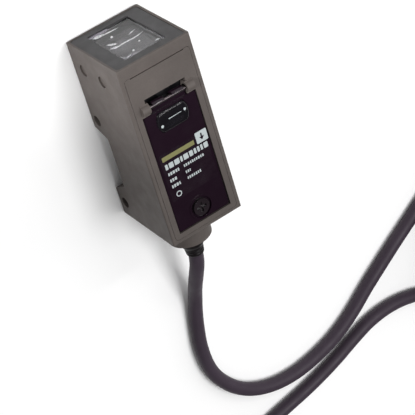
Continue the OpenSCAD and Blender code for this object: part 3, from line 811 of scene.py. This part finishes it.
def moulded(name, colour, vary=0.12, patch_mm=3.0, rough=(0.4, 0.55), grain_mm=0.25,
            grain_height=0.01, stretch=None, **fixed):
    """Plain moulded, painted or sheet material: patchy colour, patchy gloss and a fine grain."""
    made = Finish(name, **fixed)
    patches = made.ramp(made.noise(patch_mm, 5, stretch), 0, 1)
    made.colour(made.mix(patches, scaled(colour, 1 - vary), scaled(colour, 1 + vary)))
    made.roughness(patch_mm * 0.6, *rough, stretch)
    made.bump(made.noise(grain_mm, 2, stretch), grain_height)
    return made.material


def case_paint():
    """Die-cast metal under satin enamel: fine orange peel, soft patches, edges rubbed paler."""
    made = Finish("case_paint", Metallic=0.0, Specular_IOR_Level=0.16)
    base = linear(0x524C49)
    patches = made.ramp(made.noise(9, 5), 0, 1)
    speckle = made.ramp(made.noise(0.35, 2), 0, 1, 0.35, 0.75)
    body = made.mix(patches, scaled(base, 0.9), scaled(base, 1.1))
    grained = made.mix(made.ramp(speckle, 0, 0.22, 0, 1), body, scaled(base, 0.6))
    rubbed = made.node("ShaderNodeMath")
    rubbed.operation = "MULTIPLY"
    made.join(made.edges(0.35, 0.03, 0.25), rubbed.inputs[0])
    made.join(made.ramp(made.noise(2.5, 4), 0.1, 0.75, 0.35, 0.65), rubbed.inputs[1])
    made.colour(made.mix(rubbed.outputs[0], grained, scaled(base, 1.7)))
    made.roughness(4, 0.45, 0.6)
    made.bump(made.noise(0.3, 3), 0.02)
    return made.material


def smoked(name, colour, rough=(0.02, 0.06), index=1.49, clear=1.0):
    """Clear or smoked plastic: tint and faint flow marks, with small changes in its gloss."""
    made = Finish(name, Transmission_Weight=clear, IOR=index)
    flow = made.ramp(made.noise(3, 2), 0, 1)
    made.colour(made.mix(flow, scaled(colour, 0.94), scaled(colour, 1.04)))
    made.roughness(1.5, *rough)
    made.bump(made.noise(4, 1), 0.004)
    return made.material


def crease_painted_highlight():
    """Painted highlight on the film's creases: a whitish, half clear and silky colour that stands
    in for the light they catch.
    """
    made = Finish("crease_painted_highlight", Transmission_Weight=0.3, IOR=1.4)
    highlight_patches = made.ramp(made.noise(0.8, 3), 0, 1)
    made.colour(made.mix(highlight_patches, (0.5, 0.5, 0.53, 1), (0.8, 0.79, 0.81, 1)))
    made.roughness(0.5, 0.2, 0.35)
    made.bump(made.noise(0.3, 2), 0.01)
    return made.material


def brushed(name, colour, rough=(0.2, 0.35), stretch=(12, 1, 1)):
    """Bare metal with fine streaks along an axis."""
    made = Finish(name, Metallic=1.0)
    streaks = made.ramp(made.noise(0.15, 4, stretch), 0, 1)
    made.colour(made.mix(streaks, scaled(colour, 0.85), scaled(colour, 1.1)))
    made.roughness(0.4, *rough, stretch)
    made.bump(made.noise(0.1, 2, stretch), 0.003)
    return made.material


# How each material is made, its sRGB colour, and what differs from the maker's own values
LOOKS = {
    "bezel_black": (moulded, 0x3D3C3D, {
        "rough": (0.45, 0.6), "patch_mm": 5, "grain_height": 0.012, "Specular_IOR_Level": 0.2}),
    "cover_black": (moulded, 0x190D17, {
        "vary": 0.04, "rough": (0.12, 0.18), "patch_mm": 6, "grain_height": 0.001,
        "Specular_IOR_Level": 0.5}),
    "cover_smoke": (smoked, 0x3A373E, {"rough": (0.08, 0.14), "index": 1.27, "clear": 0.85}),
    "window_clear": (smoked, 0xD2D0D4, {"rough": (0.0, 0.03), "index": 1.4}),
    "lens_clear": (smoked, 0xBDBBC1, {"rough": (0.0, 0.02), "index": 1.38}),
    "black_plastic": (moulded, 0x121114, {"rough": (0.35, 0.5), "Specular_IOR_Level": 0.25}),
    "rubber_black": (moulded, 0x141314, {
        "rough": (0.6, 0.75), "grain_height": 0.02, "Specular_IOR_Level": 0.25}),
    "bushing_black": (moulded, 0x0F0B0D, {
        "rough": (0.35, 0.5), "patch_mm": 2, "grain_height": 0.015, "Specular_IOR_Level": 0.15}),
    "steel": (brushed, 0x969090, {"rough": (0.35, 0.5)}),
    "pin_steel": (brushed, 0x4A4446, {"rough": (0.25, 0.4)}),
    "screw_black": (moulded, 0x1F191D, {
        "rough": (0.12, 0.2), "grain_height": 0.004, "Specular_IOR_Level": 0.7}),
    "tinplate": (brushed, 0xC8C8C4, {}),
    "brass": (brushed, 0xC9A24D, {}),
    "board_green": (moulded, 0x1E5A34, {"rough": (0.3, 0.42), "patch_mm": 2}),
    "chip_black": (moulded, 0x1B1B1C, {"rough": (0.5, 0.62)}),
    "ceramic_tan": (moulded, 0xA98A5E, {"rough": (0.4, 0.55), "patch_mm": 0.8}),
    "capacitor_silver": (brushed, 0xBFC0C2, {"stretch": (1, 1, 10)}),
    "led_green": (smoked, 0x5FD06A, {"rough": (0.1, 0.2)}),
    "led_red": (smoked, 0xE05030, {"rough": (0.1, 0.2)}),
    "rotor_ivory": (moulded, 0xC9C2AE, {"rough": (0.35, 0.5), "patch_mm": 1.5}),
    "trimmer_blue": (moulded, 0x2A4FA0, {"rough": (0.35, 0.5)}),
    "switch_grey": (moulded, 0x55565A, {"rough": (0.4, 0.55)}),
    "label_black": (moulded, 0x180C16, {
        "vary": 0.04, "rough": (0.2, 0.28), "patch_mm": 4, "grain_height": 0.001,
        "Specular_IOR_Level": 0.35}),
    "print_white": (moulded, 0xA4ACAD, {
        "vary": 0.05, "rough": (0.45, 0.6), "patch_mm": 0.7, "grain_height": 0.002}),
    "print_olive": (moulded, 0x706E46, {
        "vary": 0.06, "rough": (0.45, 0.6), "patch_mm": 0.7, "grain_height": 0.002,
        "Specular_IOR_Level": 0.3}),
    "jacket_grey": (moulded, 0x362D37, {
        "vary": 0.07, "rough": (0.45, 0.6), "patch_mm": 6, "grain_mm": 0.5,
        "grain_height": 0.02, "Specular_IOR_Level": 0.22}),
    "wire_brown": (moulded, 0x5A3216, {"rough": (0.35, 0.5)}),
    "wire_blue": (moulded, 0x1D4A94, {"rough": (0.35, 0.5)}),
    "wire_black": (moulded, 0x161516, {"rough": (0.35, 0.5)}),
    "tinned_copper": (brushed, 0xC4BDB4, {"stretch": (1, 1, 1)}),
}
# the second material here is a whitish painted highlight for the window film's creases
MATERIALS = {"case_paint": case_paint(), "crease_painted_highlight": crease_painted_highlight()}
for look, (make, srgb, options) in LOOKS.items():
    MATERIALS[look] = make(look, linear(srgb), **options)


def wear(piece, look):
    """Gives a piece one material on every slot."""
    material = MATERIALS[look]
    if not piece.material_slots:
        piece.data.materials.append(material)
    for slot in piece.material_slots:
        slot.material = material


# the nodes and pieces whose look isn't that of their slot
OWN_LOOKS = {
    # the window film's creases wear a whitish painted highlight
    "hinge_pin": "pin_steel", "print_stripe": "print_olive", "window_ripples": "crease_painted_highlight",
}
for part in frame["record"]["subparts"]:
    wear(nodes[part["node"]], OWN_LOOKS.get(part["node"], part["material_slot"]))

for piece in cable_pieces + detail_pieces:
    wear(piece, OWN_LOOKS.get(piece.name, piece["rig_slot"]))


# ---- the floor and the light ----
FLOOR_HALF_MM = 3000
FLOOR_DROP_MM = 0.05
# the room's light from the left and from the right, and the dark flag's direction, the cosines
# where its shade starts and is full, and what it lets through
ROOM_LEVELS = (0.1, 1.0)
FLAG_DIRECTION = (0.34, -0.55, 0.76)
FLAG_EDGES = (0.8, 0.93)
FLAG_LEVEL = 0.04


def make_floor():
    """Pale matt paper under the object."""
    def build(bm):
        bmesh.ops.create_grid(bm, x_segments=2, y_segments=2, size=FLOOR_HALF_MM)

    floor = mesh_piece("floor", build)
    floor.location.z = -FLOOR_DROP_MM * MM
    material = moulded("floor_paper", linear(0xF8F8F8), vary=0.01, patch_mm=60, rough=(0.7, 0.8),
                       grain_height=0.001)
    floor.data.materials.append(material)


def place_light(name, data, place_mm, target_mm):
    """Stands a lamp somewhere and points it at a spot, with its long side along X."""
    light = bpy.data.objects.new(name, data)
    light.location = Vector(place_mm) * MM
    back = (Vector(place_mm) - Vector(target_mm)).normalized()
    along = (Vector((1, 0, 0)) - back * back.x).normalized()
    light.rotation_euler = Matrix((along, back.cross(along), back)).transposed().to_euler()
    light.visible_camera = False
    bpy.context.collection.objects.link(light)


def area_light(name, place_mm, target_mm, size_mm, power, narrow_mm=None):
    """A round lamp, or a strip as wide as size_mm if it is given a narrow side."""
    data = bpy.data.lights.new(name, "AREA")
    data.shape = "RECTANGLE" if narrow_mm else "DISK"
    data.size = size_mm * MM
    if narrow_mm:
        data.size_y = narrow_mm * MM
    data.energy = power
    place_light(name, data, place_mm, target_mm)


def spot_light(name, place_mm, target_mm, size_mm, power, cone_deg):
    """A lamp behind a snoot: a soft pool of light."""
    data = bpy.data.lights.new(name, "SPOT")
    data.shadow_soft_size = size_mm / 2 * MM
    data.spot_size = math.radians(cone_deg)
    data.spot_blend = 1.0
    data.energy = power
    place_light(name, data, place_mm, target_mm)


def make_world():
    """A white room, brighter on the right, with a dark flag opposite the camera."""
    world = bpy.data.worlds.new("studio")
    world.use_nodes = True
    tree = world.node_tree

    def node(kind, **values):
        made = tree.nodes.new(kind)
        for key, value in values.items():
            made.inputs[key.replace("_", " ")].default_value = value
        return made

    def facing(way):
        """The cosine between the view into the room and a direction."""
        made = tree.nodes.new("ShaderNodeVectorMath")
        made.operation = "DOT_PRODUCT"
        made.inputs[1].default_value = way
        return made

    direction = tree.nodes.new("ShaderNodeTexCoord").outputs["Generated"]
    across = facing((1, 0, 0))
    flag = facing(Vector(FLAG_DIRECTION).normalized())
    room = node("ShaderNodeMapRange", From_Min=-1, From_Max=1,
                To_Min=ROOM_LEVELS[0], To_Max=ROOM_LEVELS[1])
    shade = node("ShaderNodeMapRange", From_Min=FLAG_EDGES[0], From_Max=FLAG_EDGES[1],
                 To_Min=1, To_Max=FLAG_LEVEL)
    level = tree.nodes.new("ShaderNodeMath")
    level.operation = "MULTIPLY"
    for source, target in ((across, room), (flag, shade)):
        tree.links.new(direction, source.inputs[0])
        tree.links.new(source.outputs["Value"], target.inputs["Value"])
    tree.links.new(room.outputs["Result"], level.inputs[0])
    tree.links.new(shade.outputs["Result"], level.inputs[1])
    background = tree.nodes["Background"]
    background.inputs["Color"].default_value = (1, 1, 1, 1)
    tree.links.new(level.outputs["Value"], background.inputs["Strength"])
    bpy.context.scene.world = world


def make_light():
    """A soft lamp high on the right, a pool of light on the left side, and a strip overhead."""
    make_world()
    bpy.context.scene.view_settings.view_transform = "Standard"
    area_light("top", (105, 5, 690), (20, -40, 0), 440, 3.5)
    spot_light("key", (-125, 64, 72), (-11, 34, 20), 20, 0.8, 30)
    area_light("strip", (80, 112, 212), (0, 23, 15), 120, 0.085, narrow_mm=10)


make_floor()
make_light()
